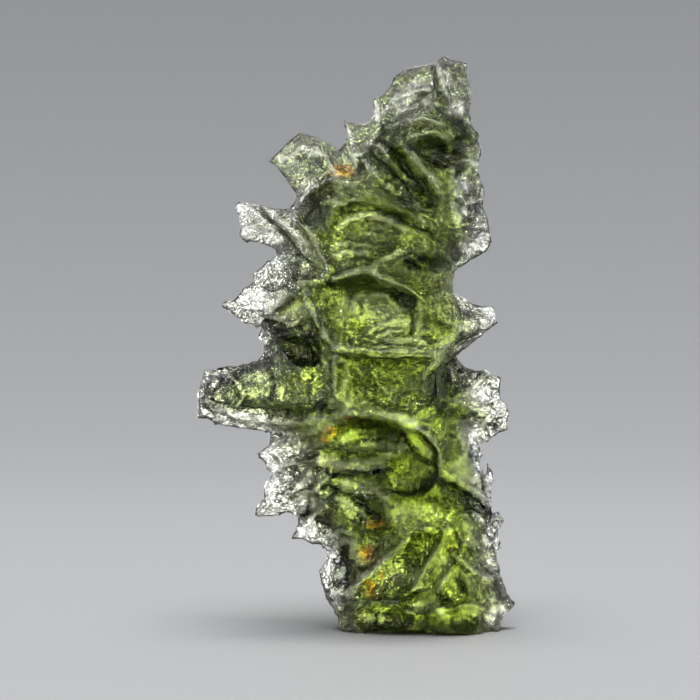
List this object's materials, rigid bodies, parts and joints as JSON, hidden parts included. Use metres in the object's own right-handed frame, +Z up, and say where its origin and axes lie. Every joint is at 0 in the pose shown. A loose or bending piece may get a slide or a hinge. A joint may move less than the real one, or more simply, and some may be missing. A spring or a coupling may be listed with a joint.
{
  "type": "moldavite",
  "caption": "Upright spiky green moldavite, a natural glass etched into thin fins, ridges and scalloped hollows, standing on a small flat foot.",
  "frame": {"origin": "on the surface the stone stands on, under the middle of its bounding box", "axes": "+Z up along the stone, +X to the right of its front face, +Y away from the front face"},
  "size_m": [0.0248, 0.0138, 0.0448],
  "materials": {
    "moldavite_glass": "etched natural glass, satin with glossy ridges"
  },
  "bodies": {
    "root": {"moldavite": "moldavite_glass"}
  },
  "joints": []
}
